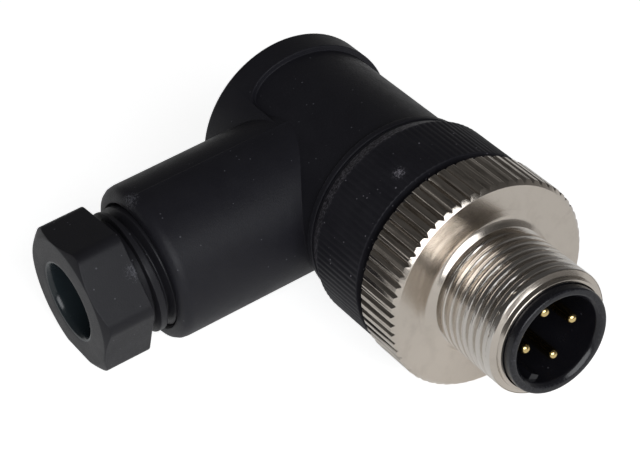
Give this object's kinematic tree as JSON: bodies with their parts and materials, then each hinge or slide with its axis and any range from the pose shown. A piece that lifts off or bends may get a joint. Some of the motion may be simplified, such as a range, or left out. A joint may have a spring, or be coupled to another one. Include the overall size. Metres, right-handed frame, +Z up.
{
  "type": "m12 connector",
  "caption": "Right-angle male circular connector with a knurled metal coupling ring, outside thread, pins in a keyed collar and a hexagonal cable gland.",
  "frame": {"origin": "on the mating axis, halfway along the outside M12 coupling thread", "axes": "+X along the mating axis, out of the pins; -Y along the cable arm, out of the gland, whose axis lies 27.475 mm behind the origin; +Z up, square to both"},
  "size_m": [0.0415, 0.0391, 0.0202],
  "materials": {
    "housing_plastic": "black glass-filled polyamide, satin, moulded",
    "insert_plastic": "black moulded thermoplastic, satin",
    "nickel_plate": "bright nickel plating on turned and knurled metal",
    "gold_plate": "gold plating on turned brass, polished",
    "screw_steel": "zinc-plated steel",
    "spring_steel": "spring steel, dull",
    "seal_rubber": "black nitrile rubber",
    "cage_plastic": "dark grey polyamide"
  },
  "bodies": {
    "housing": {"angled_housing": "housing_plastic", "clamp_cage": "cage_plastic", "cable_seal": "seal_rubber"},
    "insert": {"contact_carrier": "insert_plastic", "terminal_block": "insert_plastic", "insert_seal": "seal_rubber", "contact_1": "gold_plate", "contact_2": "gold_plate", "contact_3": "gold_plate", "contact_4": "gold_plate", "terminal_screw_1": "screw_steel", "terminal_screw_2": "screw_steel", "terminal_screw_3": "screw_steel", "terminal_screw_4": "screw_steel"},
    "union": {"union_ring": "housing_plastic"},
    "coupling": {"coupling_ring": "nickel_plate", "retaining_ring": "spring_steel"},
    "thrust": {"gland_washer": "cage_plastic"},
    "gland": {"gland_nut": "housing_plastic"}
  },
  "joints": [
    {"name": "insert_slide", "type": "slide", "parent": "housing", "child": "insert", "axis": [1, 0, 0], "range_m": [0, 0.0042]},
    {"name": "union_ring_turn", "type": "hinge", "parent": "insert", "child": "union", "pos_m": [-0.0144, 0, 0], "axis": [1, 0, 0], "range_deg": [0, 1513]},
    {"name": "coupling_ring_turn", "type": "hinge", "parent": "insert", "child": "coupling", "pos_m": [-0.0071, 0, 0], "axis": [1, 0, 0], "continuous": true},
    {"name": "gland_travel", "type": "slide", "parent": "housing", "child": "thrust", "axis": [0, -1, 0], "range_m": [-0.0024, 0.0054]},
    {"name": "gland_nut_turn", "type": "hinge", "parent": "thrust", "child": "gland", "pos_m": [-0.02748, -0.0222, 0], "axis": [0, -1, 0], "range_deg": [-577, 1297]}
  ],
  "couplings": [
    {"joint": "union_ring_turn", "follows": "insert_slide", "rad_per_m": 6283.2},
    {"joint": "gland_nut_turn", "follows": "gland_travel", "rad_per_m": 4188.8}
  ]
}
